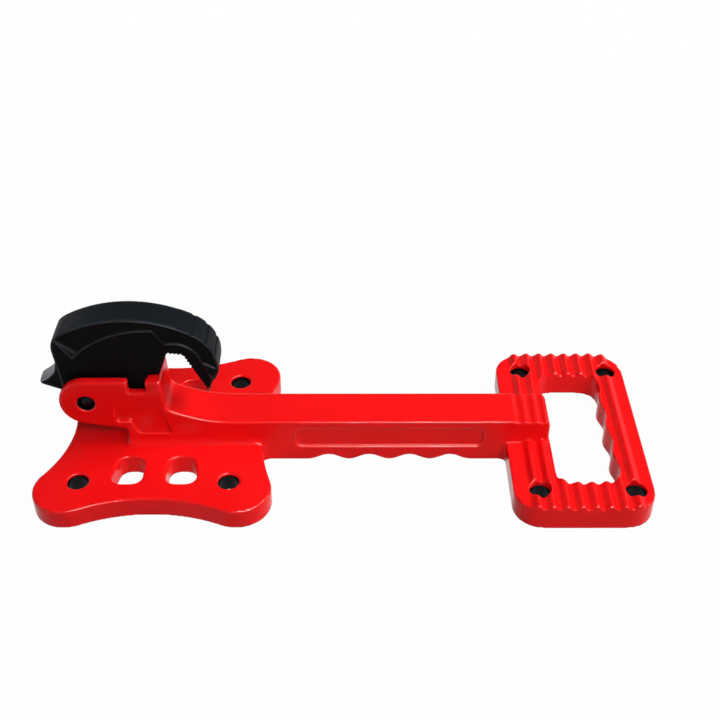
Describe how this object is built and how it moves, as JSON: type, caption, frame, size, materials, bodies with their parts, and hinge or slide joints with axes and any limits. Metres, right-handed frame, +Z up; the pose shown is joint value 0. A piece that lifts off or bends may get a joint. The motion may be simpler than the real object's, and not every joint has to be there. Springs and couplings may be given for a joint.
{
  "type": "portable pipe vise stand",
  "caption": "Portable bolt-down pipe vise: lobed cast base, finger-grip arm, ribbed foot stirrup with hand opening, and a hinged toothed hook jaw.",
  "frame": {"origin": "on the underside, at the middle of the base's bolt holes", "axes": "+X along the arm from the base to the foot stirrup, +Z up, the jaw's pin along Y"},
  "size_m": [0.3662, 0.1452, 0.1042],
  "materials": {
    "red_casting": "glossy powder coat",
    "black_jaw": "semi-gloss black",
    "pin_steel": "blackened",
    "ring_steel": "blackened spring steel",
    "washer_steel": "ground",
    "bush_bronze": "bronze"
  },
  "bodies": {
    "frame": {"vise_frame": "red_casting", "pivot_pin": "pin_steel", "front_retaining_ring": "ring_steel", "rear_retaining_ring": "ring_steel", "front_thrust_washer": "washer_steel", "rear_thrust_washer": "washer_steel"},
    "jaw": {"hook_jaw": "black_jaw", "jaw_bush": "bush_bronze"}
  },
  "joints": [
    {"name": "jaw_hinge", "type": "hinge", "parent": "frame", "child": "jaw", "pos_m": [-0.0412, 0, 0.0456], "axis": [0, -1, 0], "range_deg": [0, 125]}
  ]
}
